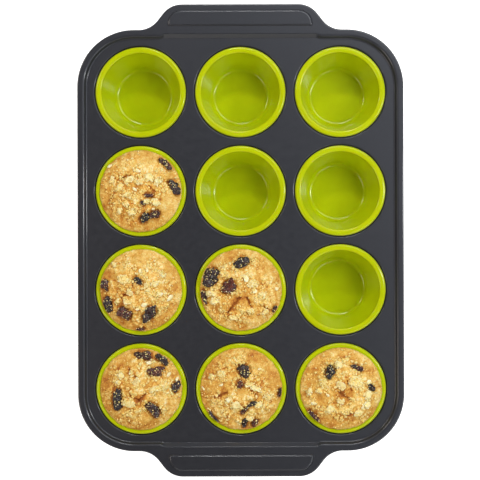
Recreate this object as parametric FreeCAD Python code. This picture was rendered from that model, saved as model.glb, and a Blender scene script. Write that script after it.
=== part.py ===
"""Twelve-cup muffin tin with silicone liners and six raisin muffins.

A pressed steel tray with a wire-reinforced rolled rim and two end handles carries
twelve drawn steel wells. A soft silicone liner hangs in each well by its round rim,
and six of the liners hold a muffin.

Frame: millimetres, +Z up. X runs across the three columns, Y along the four rows.
The origin is under the middle of the tray, on the plane that the wells stand on.
"""
import FreeCAD, Part
import math
import os

# ---- sheet steel and clearances ----
SHEET = 0.8
HALF_SHEET = SHEET / 2
WIRE_DIAMETER = 2.4
WELL_CLEARANCE = 0.4
MUFFIN_CLEARANCE = 0.35

# ---- cup layout ----
COLUMNS = 3
ROWS = 4
PITCH_X = 83.0
PITCH_Y = 82.3

# ---- tray outline, seen from above ----
HALF_WIDTH = 135.5
HALF_BODY_LENGTH = 175.0
HALF_LENGTH = 196.2
CORNER_RADIUS = 47.0
HANDLE_HALF_FLAT = 48.3
HANDLE_BEND_RADIUS = 20.0
HANDLE_BEND_ANGLE = 52.0

# ---- step from the rim down to the deck ----
STEP_HEIGHT = 3.0
STEP_INSET = 4.1
STEP_WIDTH = 4.0
STEP_WALL = 1.5
STEP_BEND = 1.3
HANDLE_STEP_INSET = 2.4
HANDLE_STEP_WIDTH = 5.2
HANDLE_STEP_WALL = 3.2
HANDLE_STEP_HALF = 62.7
HANDLE_STEP_BLEND = 4.7

# ---- raised grip panel on each handle ----
PANEL_HALF_WIDTH = 60.0
PANEL_INNER_Y = 179.7
PANEL_OUTER_Y = 191.2
PANEL_OUTER_RADIUS = 11.5
PANEL_INNER_RADIUS = 1.6
PANEL_RISE = 1.2
PANEL_EDGE_ROUND = 1.1

# ---- silicone liner ----
LINER_WALL = 1.2
LINER_RIM_RADIUS = 37.65
LINER_BEAD_RADIUS = 2.57
LINER_DEPTH = 34.0
LINER_DRAFT = 14.5
LINER_FLOOR_ROUND = 4.0
BEAD_UNDERCUT = 0.15

# ---- seat pressed into the deck for the liner's rim ----
SEAT_DROP = 1.6
SEAT_HOLE_RADIUS = 34.4
SEAT_FOOT_RADIUS = 38.6
SEAT_HEAD_RADIUS = 38.95
SEAT_RING_RADIUS = 40.5
SEAT_BEND = 0.6
WELL_FLANGE_RADIUS = 37.4
WELL_FLANGE_BEND = 1.2

# ---- muffins ----
MUFFIN_RADIUS = 34.0
DOME_RISE = 11.0
DOME_CHORD = 33.4
DOME_SHOULDER = 1.2
RAISIN_SINK = 0.25
RAISIN_CLIP_RADIUS = 33.4
RAISIN_CLIP_LIFT = 0.7

# ---- levels that follow from the sizes above ----
LINER_UNDERSIDE_Z = SHEET + WELL_CLEARANCE
LINER_FLOOR_Z = LINER_UNDERSIDE_Z + LINER_WALL
LINER_CREST_Z = LINER_FLOOR_Z + LINER_DEPTH
BEAD_CENTRE_Z = LINER_CREST_Z - LINER_BEAD_RADIUS
BEAD_CENTRE_R = LINER_RIM_RADIUS - LINER_BEAD_RADIUS
LEDGE_Z = BEAD_CENTRE_Z + BEAD_UNDERCUT
DECK_Z = LEDGE_Z + SEAT_DROP
RIM_Z = DECK_Z + STEP_HEIGHT
CURL_RADIUS = WIRE_DIAMETER / 2 + SHEET
CURL_CENTRE_Z = RIM_Z - CURL_RADIUS
DOME_APEX_Z = LINER_CREST_Z + DOME_RISE
DOME_RADIUS = (DOME_CHORD ** 2 + (DOME_RISE - DOME_SHOULDER) ** 2) / (2 * (DOME_RISE - DOME_SHOULDER))

# ---- muffins by row and column, each with its raisins: x, y, length, width, turn in degrees ----
MUFFINS = {
    (2, 1): [(21.0, 22.5, 14, 5.5, -46), (28.6, 2.6, 14, 6, -57), (7, -4, 8, 3, 8),
             (2.7, -10.3, 5, 4, 0), (3.6, -22.3, 9.5, 6.5, 60), (12.4, -19.2, 8, 5.5, 10)],
    (3, 1): [(-29.8, 4, 9, 7, -70), (-27.6, -12, 13, 7.5, -70), (-13.3, -19.2, 12, 8.5, -20),
             (7.5, -19, 14.5, 8.5, 60), (-1.6, 8.3, 9, 4, -38), (-1, -32.2, 9, 2.6, -3)],
    (3, 2): [(-24.4, 11.5, 16, 12, 65), (-9.8, 3, 12.5, 10, 35), (-31, -5.5, 12, 4.5, -75),
             (0.8, 22.7, 12, 9, 40), (28.8, -15.2, 6, 4, 50)],
    (4, 1): [(2.7, 29.0, 14, 6.5, -3), (17.6, 25.2, 12, 6, -35), (13.2, 16.2, 13, 7, 15),
             (29, 2.1, 9, 6, 70), (-19.6, -7, 19, 7.5, -87), (11, -16, 15, 8, -58)],
    (4, 2): [(2.4, 16.5, 11, 9.5, -30), (-0.7, 5.5, 7, 5, 45), (32, -2.7, 7.5, 2.6, 85),
             (9, -11.3, 8, 3, 25), (1.7, -17.4, 8, 3, 40), (3.2, -28, 8, 4, 75),
             (11.5, -27.6, 7, 4, 60), (-23.2, -23, 12, 2.6, -45)],
    (4, 3): [(-9.8, 15, 10, 8, 60), (13.2, 18.4, 11, 4, -25), (25.2, 1.6, 7, 4, -40),
             (-23, -22.6, 14, 4, -52)],
}

OUT_DIR = "parts"
LEVEL_TOLERANCE = 0.01
UP = FreeCAD.Vector(0, 0, 1)
ORIGIN = FreeCAD.Vector(0, 0, 0)


def section_point(u, z):
    """A point of a cross-section: u is the distance outwards, z the height."""
    return FreeCAD.Vector(0, u, z)


def rounded_edges(corners, radii):
    """Lines through the corners of an open polyline, each inner corner rounded by its radius."""
    edges = []
    last = section_point(*corners[0])
    for index in range(1, len(corners) - 1):
        corner = section_point(*corners[index])
        before = (section_point(*corners[index - 1]) - corner).normalize()
        after = (section_point(*corners[index + 1]) - corner).normalize()
        half_angle = before.getAngle(after) / 2
        radius = radii[index - 1]
        tangent = radius / math.tan(half_angle)
        bisector = (before + after).normalize()
        start = corner + before * tangent
        middle = corner + bisector * (radius / math.sin(half_angle) - radius)
        end = corner + after * tangent
        edges.append(Part.LineSegment(last, start).toShape())
        edges.append(Part.Arc(start, middle, end).toShape())
        last = end
    edges.append(Part.LineSegment(last, section_point(*corners[-1])).toShape())
    return edges


def shifted_corners(corners, radii, shift):
    """The polyline moved to its left by shift, with each bend radius changed to match."""
    normals = []
    for (u0, z0), (u1, z1) in zip(corners, corners[1:]):
        length = math.hypot(u1 - u0, z1 - z0)
        normals.append((-(z1 - z0) / length, (u1 - u0) / length))
    moved = [(corners[0][0] + normals[0][0] * shift, corners[0][1] + normals[0][1] * shift)]
    bends = []
    for index in range(1, len(corners) - 1):
        (nu0, nz0), (nu1, nz1) = normals[index - 1], normals[index]
        scale = shift / (1 + nu0 * nu1 + nz0 * nz1)
        moved.append((corners[index][0] + (nu0 + nu1) * scale, corners[index][1] + (nz0 + nz1) * scale))
        turn = math.copysign(1, nu0 * nz1 - nz0 * nu1)
        bends.append(radii[index - 1] - turn * shift)
    moved.append((corners[-1][0] + normals[-1][0] * shift, corners[-1][1] + normals[-1][1] * shift))
    return moved, bends


def sheet_section(corners, radii, thickness=SHEET):
    """Cross-section of bent sheet: its middle line is the rounded polyline."""
    left = rounded_edges(*shifted_corners(corners, radii, thickness / 2))
    right = rounded_edges(*shifted_corners(corners, radii, -thickness / 2))
    start_cap = Part.LineSegment(left[0].Vertexes[0].Point, right[0].Vertexes[0].Point).toShape()
    end_cap = Part.LineSegment(left[-1].Vertexes[-1].Point, right[-1].Vertexes[-1].Point).toShape()
    return Part.Face(Part.Wire(Part.__sortEdges__(left + right + [start_cap, end_cap])))


def turned_solid(section):
    """A full turn of a cross-section about the Z axis."""
    return section.revolve(ORIGIN, UP, 360)


def outline_moves(inset):
    """Half of the way round the tray, clockwise from the left end of the top handle's flat."""
    angle = math.radians(HANDLE_BEND_ANGLE)
    bend_drop = 2 * HANDLE_BEND_RADIUS * (1 - math.cos(angle))
    slope = (HALF_LENGTH - HALF_BODY_LENGTH - bend_drop) / math.sin(angle)
    foot = HANDLE_HALF_FLAT + 2 * HANDLE_BEND_RADIUS * math.sin(angle) + slope * math.cos(angle)
    shoulder = HALF_WIDTH - CORNER_RADIUS - foot
    neck = [("arc", HANDLE_BEND_RADIUS - inset, -HANDLE_BEND_ANGLE), ("line", slope),
            ("arc", HANDLE_BEND_RADIUS + inset, HANDLE_BEND_ANGLE)]
    corner = ("arc", CORNER_RADIUS - inset, -90)
    side = 2 * (HALF_BODY_LENGTH - CORNER_RADIUS)
    return ([("line", 2 * HANDLE_HALF_FLAT)] + neck + [("line", shoulder), corner, ("line", side), corner,
            ("line", shoulder)] + neck[::-1])


def traced_edges(start, heading, moves):
    """Edges of a flat path walked by line and arc moves; a negative turn is clockwise."""
    edges = []
    for kind, size, *turn in moves:
        ahead = FreeCAD.Vector(math.cos(math.radians(heading)), math.sin(math.radians(heading)), 0)
        if kind == "line":
            end = start + ahead * size
            edges.append(Part.LineSegment(start, end).toShape())
        else:
            side = math.copysign(1, turn[0])
            centre = start + FreeCAD.Vector(-ahead.y, ahead.x, 0) * (side * size)
            middle = rotated_about(start, centre, turn[0] / 2)
            end = rotated_about(start, centre, turn[0])
            edges.append(Part.Arc(start, middle, end).toShape())
            heading += turn[0]
        start = end
    return edges


def rotated_about(point, centre, degrees):
    """A point turned about a vertical axis."""
    arm = point - centre
    return centre + FreeCAD.Rotation(UP, degrees).multVec(arm)


def swept_solids(section, start, heading, moves):
    """The section carried along a flat path: an extrusion for each line, a turn for each arc."""
    solids = []
    for kind, size, *turn in moves:
        ahead = FreeCAD.Vector(math.cos(math.radians(heading)), math.sin(math.radians(heading)), 0)
        placed = section.copy()
        placed.Placement = FreeCAD.Placement(start, FreeCAD.Rotation(UP, heading))
        if kind == "line":
            solids.append(placed.extrude(ahead * size))
            start = start + ahead * size
        else:
            side = math.copysign(1, turn[0])
            centre = start + FreeCAD.Vector(-ahead.y, ahead.x, 0) * (side * size)
            solids.append(placed.revolve(centre, UP, turn[0]))
            start = rotated_about(start, centre, turn[0])
            heading += turn[0]
    return solids


def tray_path(inset):
    """Start point, heading and moves of the whole tray outline, moved inwards by inset."""
    start = FreeCAD.Vector(-HANDLE_HALF_FLAT, HALF_LENGTH - inset, 0)
    return start, 0, outline_moves(inset) * 2


def step_section(inset, width, wall, outer_radius):
    """Bent sheet that drops from the rim to the deck, measured from a corner's centre."""
    top = outer_radius - inset
    rim_line = RIM_Z - HALF_SHEET
    deck_line = DECK_Z - HALF_SHEET
    head = top - (width - wall) / 2
    corners = [(top, rim_line), (head, rim_line), (head - wall, deck_line), (top - width, deck_line)]
    return sheet_section(corners, [STEP_BEND, STEP_BEND])


def moved(shape, x=0, y=0, z=0):
    """A copy of the shape, shifted."""
    copy = shape.copy()
    copy.translate(FreeCAD.Vector(x, y, z))
    return copy


def four_ways(shape):
    """The shape and its mirror images across X, across Y and across both."""
    across = shape.mirror(ORIGIN, FreeCAD.Vector(1, 0, 0))
    pair = [shape, across]
    return pair + [solid.mirror(ORIGIN, FreeCAD.Vector(0, 1, 0)) for solid in pair]


def perimeter_step():
    """The step all round the deck, wider and gentler along the two handles."""
    corner_x = HALF_WIDTH - CORNER_RADIUS
    corner_y = HALF_BODY_LENGTH - CORNER_RADIUS
    normal = step_section(STEP_INSET, STEP_WIDTH, STEP_WALL, CORNER_RADIUS)
    wide = step_section(HANDLE_STEP_INSET, HANDLE_STEP_WIDTH, HANDLE_STEP_WALL, CORNER_RADIUS)
    blend_end = HANDLE_STEP_HALF + HANDLE_STEP_BLEND
    corner = moved(normal, corner_x, corner_y).revolve(FreeCAD.Vector(corner_x, corner_y, 0), UP, -90)
    shoulder = moved(normal, blend_end, corner_y).extrude(FreeCAD.Vector(corner_x - blend_end, 0, 0))
    blend = Part.makeLoft([moved(wide, HANDLE_STEP_HALF, corner_y).OuterWire,
                           moved(normal, blend_end, corner_y).OuterWire], True, True)
    end_step = moved(wide, -HANDLE_STEP_HALF, corner_y).extrude(FreeCAD.Vector(2 * HANDLE_STEP_HALF, 0, 0))
    side_section = moved(normal)
    side_section.rotate(ORIGIN, UP, -90)
    side = moved(side_section, corner_x, -corner_y).extrude(FreeCAD.Vector(0, 2 * corner_y, 0))
    solids = four_ways(corner) + four_ways(shoulder) + four_ways(blend)
    solids += [end_step, end_step.mirror(ORIGIN, FreeCAD.Vector(0, 1, 0))]
    solids += [side, side.mirror(ORIGIN, FreeCAD.Vector(1, 0, 0))]
    return solids


def inner_boundary(corner_inset, end_gap):
    """Wire round the inside of the rim; end_gap moves its stretch along each handle outwards."""
    corner_x = HALF_WIDTH - CORNER_RADIUS
    corner_y = HALF_BODY_LENGTH - CORNER_RADIUS
    blend_end = HANDLE_STEP_HALF + HANDLE_STEP_BLEND
    radius = CORNER_RADIUS - corner_inset
    end_y = corner_y + radius
    jog = math.degrees(math.atan2(end_gap, HANDLE_STEP_BLEND))
    jog_length = math.hypot(end_gap, HANDLE_STEP_BLEND)
    half_loop = [("line", 2 * HANDLE_STEP_HALF), ("turn", -jog), ("line", jog_length), ("turn", jog),
                 ("line", corner_x - blend_end), ("arc", radius, -90), ("line", 2 * corner_y),
                 ("arc", radius, -90), ("line", corner_x - blend_end), ("turn", jog), ("line", jog_length),
                 ("turn", -jog)]
    edges = []
    point = FreeCAD.Vector(-HANDLE_STEP_HALF, end_y + end_gap, 0)
    heading = 0
    for move in half_loop * 2:
        if move[0] == "turn":
            heading += move[1]
            continue
        edges += traced_edges(point, heading, [move])
        point = edges[-1].Vertexes[-1].Point
        if move[0] == "arc":
            heading += move[2]
    return Part.Wire(edges)


def plate(wire, top_z, holes=()):
    """Flat sheet inside a wire, with holes, its upper face at top_z."""
    face = Part.Face(wire)
    for hole in holes:
        face = face.cut(Part.Face(hole))
    solid = face.extrude(FreeCAD.Vector(0, 0, SHEET))
    return moved(solid, z=top_z - SHEET)


def panel_wire(inset):
    """Outline of the raised grip panel on the +Y handle, moved inwards by inset."""
    half = PANEL_HALF_WIDTH - inset
    inner_y = PANEL_INNER_Y + inset
    outer_y = PANEL_OUTER_Y - inset
    outer_radius = PANEL_OUTER_RADIUS - inset
    inner_radius = max(PANEL_INNER_RADIUS - inset, HALF_SHEET)
    height = outer_y - inner_y
    start = FreeCAD.Vector(-(half - outer_radius), outer_y, 0)
    side = height - outer_radius - inner_radius
    moves = [("line", 2 * (half - outer_radius)), ("arc", outer_radius, -90)]
    if side > 0:
        moves.append(("line", side))
    moves += [("arc", inner_radius, -90), ("line", 2 * (half - inner_radius)), ("arc", inner_radius, -90)]
    if side > 0:
        moves.append(("line", side))
    moves.append(("arc", outer_radius, -90))
    return Part.Wire(traced_edges(start, 0, moves))


def rounded_pad(wire, bottom_z, top_z, radius):
    """A pad with an upright side and a rounded upper edge."""
    pad = moved(Part.Face(wire).extrude(FreeCAD.Vector(0, 0, top_z - bottom_z)), z=bottom_z)
    upper = [edge for edge in pad.Edges if min(v.Z for v in edge.Vertexes) > top_z - LEVEL_TOLERANCE]
    return pad.makeFillet(radius, upper)


def grip_panel():
    """The pressed-up skin of one grip panel and the hollow under it."""
    skin = rounded_pad(panel_wire(0), RIM_Z - SHEET, RIM_Z + PANEL_RISE, PANEL_EDGE_ROUND)
    hollow = rounded_pad(panel_wire(SHEET), RIM_Z - 2 * SHEET, RIM_Z + PANEL_RISE - SHEET,
                         PANEL_EDGE_ROUND - SHEET)
    return skin, hollow


def curl_section():
    """Three quarters of a ring: the rim's edge rolled down and in round the wire."""
    inner = WIRE_DIAMETER / 2
    outer = CURL_RADIUS
    diagonal = math.sqrt(0.5)
    centre_z = CURL_CENTRE_Z

    def arc(radius):
        return Part.Arc(section_point(0, centre_z + radius),
                        section_point(radius * diagonal, centre_z - radius * diagonal),
                        section_point(-radius, centre_z)).toShape()

    top_cap = Part.LineSegment(section_point(0, centre_z + outer), section_point(0, centre_z + inner))
    end_cap = Part.LineSegment(section_point(-inner, centre_z), section_point(-outer, centre_z))
    edges = [arc(outer), arc(inner), top_cap.toShape(), end_cap.toShape()]
    return Part.Face(Part.Wire(Part.__sortEdges__(edges)))


def seat_ring():
    """The shallow recess pressed round one cup hole, for the liner's rim."""
    deck_line = DECK_Z - HALF_SHEET
    ledge_line = LEDGE_Z - HALF_SHEET
    corners = [(SEAT_RING_RADIUS, deck_line), (SEAT_HEAD_RADIUS, deck_line),
               (SEAT_FOOT_RADIUS, ledge_line), (SEAT_HOLE_RADIUS, ledge_line)]
    return turned_solid(sheet_section(corners, [SEAT_BEND, SEAT_BEND]))


def cup_positions():
    """Row, column and centre of each cup; row 1 is at +Y and column 1 at -X."""
    for row in range(1, ROWS + 1):
        for column in range(1, COLUMNS + 1):
            x = (column - (COLUMNS + 1) / 2) * PITCH_X
            y = ((ROWS + 1) / 2 - row) * PITCH_Y
            yield row, column, x, y


def tray():
    """The pressed steel tray: deck, seats, step, rim, rolled edge and handles."""
    deck_edge = inner_boundary(STEP_INSET + STEP_WIDTH, STEP_INSET + STEP_WIDTH
                               - HANDLE_STEP_INSET - HANDLE_STEP_WIDTH)
    holes = [Part.Wire(Part.makeCircle(SEAT_RING_RADIUS, FreeCAD.Vector(x, y, 0)))
             for row, column, x, y in cup_positions()]
    deck = plate(deck_edge, DECK_Z, holes)
    rim_inside = inner_boundary(STEP_INSET, STEP_INSET - HANDLE_STEP_INSET)
    start, heading, moves = tray_path(CURL_RADIUS)
    rim = plate(Part.Wire(traced_edges(start, heading, moves)), RIM_Z, [rim_inside])
    curl = swept_solids(curl_section(), start, heading, moves)
    ring = seat_ring()
    rings = [moved(ring, x, y) for row, column, x, y in cup_positions()]
    skin, hollow = grip_panel()
    mirrored_skin = skin.mirror(ORIGIN, FreeCAD.Vector(0, 1, 0))
    mirrored_hollow = hollow.mirror(ORIGIN, FreeCAD.Vector(0, 1, 0))
    body = rim.multiFuse(perimeter_step() + [deck] + rings + curl + [skin, mirrored_skin])
    return body.cut(hollow).cut(mirrored_hollow).removeSplitter()


def rim_wire():
    """One closed loop of round wire inside the rolled edge."""
    circle = Part.Wire(Part.makeCircle(WIRE_DIAMETER / 2, section_point(0, CURL_CENTRE_Z),
                                       FreeCAD.Vector(1, 0, 0)))
    solids = swept_solids(Part.Face(circle), *tray_path(CURL_RADIUS))
    return solids[0].multiFuse(solids[1:]).removeSplitter()


def liner_wall_point(z, offset):
    """Radius at height z of the liner's inner wall, moved outwards by offset."""
    draft = math.radians(LINER_DRAFT)
    touch_r = BEAD_CENTRE_R - LINER_BEAD_RADIUS * math.cos(draft)
    touch_z = BEAD_CENTRE_Z + LINER_BEAD_RADIUS * math.sin(draft)
    return touch_r + offset / math.cos(draft) - (touch_z - z) * math.tan(draft)


def well():
    """Drawn steel well: a narrow flange under the seat, a drafted wall and a flat floor."""
    middle = LINER_WALL + WELL_CLEARANCE + HALF_SHEET
    flange_line = LEDGE_Z - SHEET - HALF_SHEET
    floor_line = HALF_SHEET
    corners = [(WELL_FLANGE_RADIUS, flange_line), (liner_wall_point(flange_line, middle), flange_line),
               (liner_wall_point(floor_line, middle), floor_line), (0, floor_line)]
    return turned_solid(sheet_section(corners, [WELL_FLANGE_BEND, LINER_FLOOR_ROUND + middle]))


def liner():
    """Silicone cup: a round bead that rests on the seat, a drafted wall and a flat floor."""
    draft = math.radians(LINER_DRAFT)
    outer_foot = liner_wall_point(LINER_UNDERSIDE_Z, LINER_WALL)
    outer_head = liner_wall_point(LEDGE_Z, LINER_WALL)
    bead_edge = BEAD_CENTRE_R + math.sqrt(LINER_BEAD_RADIUS ** 2 - BEAD_UNDERCUT ** 2)
    touch = (BEAD_CENTRE_R - LINER_BEAD_RADIUS * math.cos(draft),
             BEAD_CENTRE_Z + LINER_BEAD_RADIUS * math.sin(draft))
    under = rounded_edges([(0, LINER_UNDERSIDE_Z), (outer_foot, LINER_UNDERSIDE_Z), (outer_head, LEDGE_Z),
                           (bead_edge, LEDGE_Z)], [LINER_FLOOR_ROUND + LINER_WALL, HALF_SHEET])
    bead = Part.Arc(section_point(bead_edge, LEDGE_Z), section_point(BEAD_CENTRE_R, LINER_CREST_Z),
                    section_point(*touch)).toShape()
    inside = rounded_edges([touch, (liner_wall_point(LINER_FLOOR_Z, 0), LINER_FLOOR_Z), (0, LINER_FLOOR_Z)],
                           [LINER_FLOOR_ROUND])
    axis = Part.LineSegment(section_point(0, LINER_FLOOR_Z), section_point(0, LINER_UNDERSIDE_Z)).toShape()
    edges = under + [bead] + inside + [axis]
    return turned_solid(Part.Face(Part.Wire(Part.__sortEdges__(edges))))


def dome_height(radius):
    """Height of the muffin's crust at a distance from its axis."""
    return DOME_APEX_Z - DOME_RADIUS + math.sqrt(DOME_RADIUS ** 2 - radius ** 2)


def muffin_form():
    """A muffin without its raisins: it fills the liner and rises over it in a dome."""
    gap = MUFFIN_CLEARANCE
    draft = math.radians(LINER_DRAFT)
    swell = LINER_BEAD_RADIUS + gap
    touch = (BEAD_CENTRE_R - swell * math.cos(draft), BEAD_CENTRE_Z + swell * math.sin(draft))
    lip_angle = math.acos((BEAD_CENTRE_R - MUFFIN_RADIUS) / swell)
    lip = (MUFFIN_RADIUS, BEAD_CENTRE_Z + swell * math.sin(lip_angle))
    mid_angle = (draft + lip_angle) / 2
    mid = (BEAD_CENTRE_R - swell * math.cos(mid_angle), BEAD_CENTRE_Z + swell * math.sin(mid_angle))
    shoulder = (DOME_CHORD, dome_height(DOME_CHORD))
    bulge = (MUFFIN_RADIUS + gap / 2, (lip[1] + shoulder[1]) / 2)
    half_chord = DOME_CHORD / 2
    foot = (liner_wall_point(LINER_FLOOR_Z, -gap), LINER_FLOOR_Z)
    lower = rounded_edges([(0, LINER_FLOOR_Z), foot, touch], [LINER_FLOOR_ROUND])
    edges = lower + [
        Part.Arc(section_point(*touch), section_point(*mid), section_point(*lip)).toShape(),
        Part.Arc(section_point(*lip), section_point(*bulge), section_point(*shoulder)).toShape(),
        Part.Arc(section_point(*shoulder), section_point(half_chord, dome_height(half_chord)),
                 section_point(0, DOME_APEX_Z)).toShape(),
        Part.LineSegment(section_point(0, DOME_APEX_Z), section_point(0, LINER_FLOOR_Z)).toShape()]
    return turned_solid(Part.Face(Part.Wire(Part.__sortEdges__(edges))))


def raisin(x, y, length, width, turn):
    """A raisin: a capsule laid on the crust, more than half sunk into it."""
    radius = width / 2
    straight = (length - width) / 2
    tip = FreeCAD.Vector(0, 0, straight + radius)
    corner = FreeCAD.Vector(radius * math.sqrt(0.5), 0, straight + radius * math.sqrt(0.5))
    top = Part.Arc(tip, corner, FreeCAD.Vector(radius, 0, straight))
    side = Part.LineSegment(FreeCAD.Vector(radius, 0, straight), FreeCAD.Vector(radius, 0, -straight))
    low_corner = FreeCAD.Vector(corner.x, 0, -corner.z)
    bottom = Part.Arc(FreeCAD.Vector(radius, 0, -straight), low_corner, -tip)
    axis = Part.LineSegment(-tip, tip)
    half = Part.Face(Part.Wire([edge.toShape() for edge in (top, side, bottom, axis)]))
    capsule = half.revolve(ORIGIN, UP, 360)
    distance = math.hypot(x, y)
    tilt = math.degrees(math.asin(distance / DOME_RADIUS))
    capsule.rotate(ORIGIN, FreeCAD.Vector(0, 1, 0), 90)
    capsule.rotate(ORIGIN, UP, turn)
    capsule.rotate(ORIGIN, FreeCAD.Vector(-y, x, 0), tilt)
    return moved(capsule, x, y, dome_height(distance) - radius * RAISIN_SINK)


def raisins(layout):
    """All the raisins of one muffin, kept clear of the liner's bead."""
    clip_foot = FreeCAD.Vector(0, 0, LINER_CREST_Z + RAISIN_CLIP_LIFT)
    clip = Part.makeCylinder(RAISIN_CLIP_RADIUS, DOME_RISE, clip_foot)
    pieces = [raisin(*row) for row in layout]
    merged = pieces[0].multiFuse(pieces[1:]) if len(pieces) > 1 else pieces[0]
    return merged.common(clip)


def save(shape, name):
    """Write one node."""
    shape.exportStep(os.path.join(OUT_DIR, name + ".step"))


def main():
    os.makedirs(OUT_DIR, exist_ok=True)
    save(tray(), "tray")
    save(rim_wire(), "rim_wire")
    well_form = well()
    liner_form = liner()
    muffin_shape = muffin_form()
    for row, column, x, y in cup_positions():
        place = "_r%d_c%d" % (row, column)
        save(moved(well_form, x, y), "well" + place)
        save(moved(liner_form, x, y), "liner" + place)
        if (row, column) in MUFFINS:
            fruit = raisins(MUFFINS[(row, column)])
            save(moved(muffin_shape.cut(fruit), x, y), "muffin" + place)
            save(moved(fruit, x, y), "raisins" + place)


main()
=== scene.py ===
import math

import bmesh
import bpy
import numpy as np
from mathutils import Euler, Matrix, Vector


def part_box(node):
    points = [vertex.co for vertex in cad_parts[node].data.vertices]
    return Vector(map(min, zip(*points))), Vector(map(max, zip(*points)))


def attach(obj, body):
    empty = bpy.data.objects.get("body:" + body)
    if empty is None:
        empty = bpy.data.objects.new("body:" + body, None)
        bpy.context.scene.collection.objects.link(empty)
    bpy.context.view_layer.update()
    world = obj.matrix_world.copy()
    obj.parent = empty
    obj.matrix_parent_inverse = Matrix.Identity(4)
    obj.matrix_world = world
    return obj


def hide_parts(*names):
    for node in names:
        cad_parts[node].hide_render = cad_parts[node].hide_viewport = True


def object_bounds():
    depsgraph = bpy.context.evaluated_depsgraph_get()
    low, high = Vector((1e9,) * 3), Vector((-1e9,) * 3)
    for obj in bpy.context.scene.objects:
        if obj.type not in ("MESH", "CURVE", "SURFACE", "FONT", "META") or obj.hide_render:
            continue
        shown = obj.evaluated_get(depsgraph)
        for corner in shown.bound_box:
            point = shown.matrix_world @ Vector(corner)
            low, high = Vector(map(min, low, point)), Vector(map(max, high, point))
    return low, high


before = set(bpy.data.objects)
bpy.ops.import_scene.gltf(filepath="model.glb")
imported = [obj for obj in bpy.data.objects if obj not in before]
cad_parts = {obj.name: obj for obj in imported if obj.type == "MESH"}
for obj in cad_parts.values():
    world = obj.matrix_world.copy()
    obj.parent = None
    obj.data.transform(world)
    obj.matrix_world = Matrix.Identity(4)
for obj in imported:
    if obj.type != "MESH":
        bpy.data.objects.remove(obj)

CAD_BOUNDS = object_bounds()
MM = 0.001

# ---- sheet steel ----
SHEET = 0.8 * MM
WIRE_DIAMETER = 2.4 * MM
CURL_RADIUS = WIRE_DIAMETER / 2 + SHEET
CURL_MIDDLE = CURL_RADIUS - SHEET / 2
CURL_POWER = 5.5
CURL_ROWS = 37

# ---- tray outline ----
CORNER_RADIUS = 47.0 * MM
HALF_BODY_LENGTH = 175.0 * MM
HANDLE_HALF_FLAT = 48.3 * MM
HANDLE_BEND_RADIUS = 20.0 * MM
HANDLE_BEND_ANGLE = 52.0
ARC_STEP = 3.0

# ---- step from the rim down to the deck: inset, width, slanted wall and bend radius ----
STEP_HEIGHT = 3.0 * MM
STEP = (3.7 * MM, 4.8 * MM, 1.6 * MM, 2.2 * MM)
HANDLE_STEP = (2.4 * MM, 5.2 * MM, 3.2 * MM, 0.9 * MM)
HANDLE_STEP_HALF = 62.7 * MM
HANDLE_STEP_BLEND = 4.7 * MM
BLEND_PIECES = 8

# ---- grip panels ----
PANEL_HALF_WIDTH = 60.0 * MM
PANEL_INNER_Y = 179.7 * MM
PANEL_OUTER_Y = 191.2 * MM
PANEL_OUTER_RADIUS = 11.5 * MM
PANEL_INNER_RADIUS = 1.6 * MM
PANEL_RISE = 1.2 * MM
PANEL_SLANT = 0.8 * MM
PANEL_MARGIN = 1.2 * MM
PANEL_FOOT_BEND = 0.5 * MM
PANEL_EDGE_BEND = 2.0 * MM
PANEL_SHORTEST_SIDE = 0.02 * MM

# ---- seats for the liners ----
SEAT_DROP = 1.6 * MM
SEAT_HOLE_RADIUS = 34.4 * MM
SEAT_FOOT_RADIUS = 38.6 * MM
SEAT_HEAD_RADIUS = 38.95 * MM
SEAT_RING_RADIUS = 40.5 * MM
SEAT_BEND = 0.6 * MM

# ---- wells and liners ----
WELL_FLANGE_BEND = 1.2 * MM
WELL_GAP = 0.4 * MM
LINER_WALL = 1.2 * MM
WELL_OFFSET = LINER_WALL + WELL_GAP + SHEET / 2
LINER_DRAFT = math.radians(14.5)
LINER_FLOOR_ROUND = 4.0 * MM
BEAD_RADIUS = 2.57 * MM
BEAD_HEEL_ROUND = 0.35 * MM
BEAD_OUTER_ROUND = 1.7 * MM
BEAD_LIP_ROUND = 1.5 * MM
BEAD_INNER_ROUND = 0.9 * MM
BEAD_CROWN = 0.12 * MM
BEAD_CROWN_ROUND = 12.0 * MM
BEAD_SIDE_DROP = 0.9 * MM
WALL_SETBACK = 0.3 * MM
TURN_SEGMENTS = 144
AXIS_RADIUS = 1e-7

# ---- muffins ----
MUFFIN_GAP = 0.35 * MM
MUFFIN_RADIUS = 34.0 * MM
DOME_CHORD = 33.4 * MM
DOME_SHOULDER = 1.2 * MM
DOME_RISE = 10.0 * MM
TOP_LIMIT = CAD_BOUNDS[1].z - 0.1 * MM
TOP_GRID = 170
SIDE_SPACING = 0.9 * MM
RAGGED_EDGE = 0.5 * MM
PORE_SIZE = 2.2 * MM
PORE_DEPTH = 0.45 * MM
EDGE_FADE = 0.55

# ---- crust: wave lengths, heights and depths in millimetres ----
SWELL_WAVE, PATCH_WAVE, COARSE_WAVE, FINE_WAVE, GRAIN_WAVE = 11, 9, 2.9, 1.25, 0.9
SWELL_HEIGHT, COARSE_HEIGHT, FINE_HEIGHT = 1.1, 1.1, 0.65
HOLLOW_DEPTH, HOLLOW_SPREAD = 0.9, 1.6
CRACK_DEPTH, CRACK_WIDTH, CRACK_SPREAD, CRACK_HALO = 1.8, 0.2, 0.5, 9
# painted shade across each muffin: where the darkening starts and ends in mm, and how strong it is
SHADE_SIDE_START, SHADE_SIDE_END = -22, 30
PAINTED_SHADE_DEPTH = 0.16

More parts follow.
